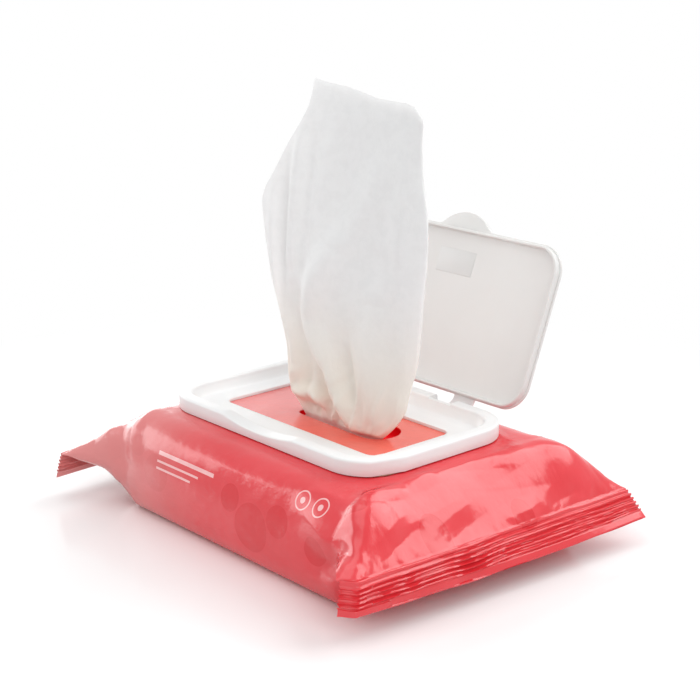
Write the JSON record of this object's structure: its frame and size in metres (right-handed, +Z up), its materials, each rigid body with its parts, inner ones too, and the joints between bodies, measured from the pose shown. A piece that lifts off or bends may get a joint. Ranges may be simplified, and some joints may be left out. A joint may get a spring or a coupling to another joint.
{
  "type": "wet wipes pack",
  "caption": "Soft film pouch of wet wipes with crimped ends, a hinged flip-top lid standing open and a folded wipe pulled up through the slot.",
  "frame": {"origin": "centre of the face that the pouch rests on, under the middle of the closure", "axes": "+X along the pouch from seal to seal, +Y towards the lid's hinge side, +Z up"},
  "size_m": [0.1745, 0.1326, 0.155],
  "materials": {
    "coral_film": "glossy thin film",
    "white_plastic": "satin moulded",
    "wet_cloth": "soft nonwoven, damp",
    "hot_melt": "dull adhesive"
  },
  "bodies": {
    "pack": {"film_pouch": "coral_film", "wipe_stack": "wet_cloth", "pulled_wipe": "wet_cloth", "glue_ring": "hot_melt", "lid_frame": "white_plastic"},
    "lid": {"lid": "white_plastic"}
  },
  "joints": [
    {"name": "lid_hinge", "type": "hinge", "parent": "pack", "child": "lid", "pos_m": [0, 0.0362, 0.03665], "axis": [1, 0, 0], "range_deg": [-12, 111], "deforming": ["pulled_wipe"]}
  ]
}
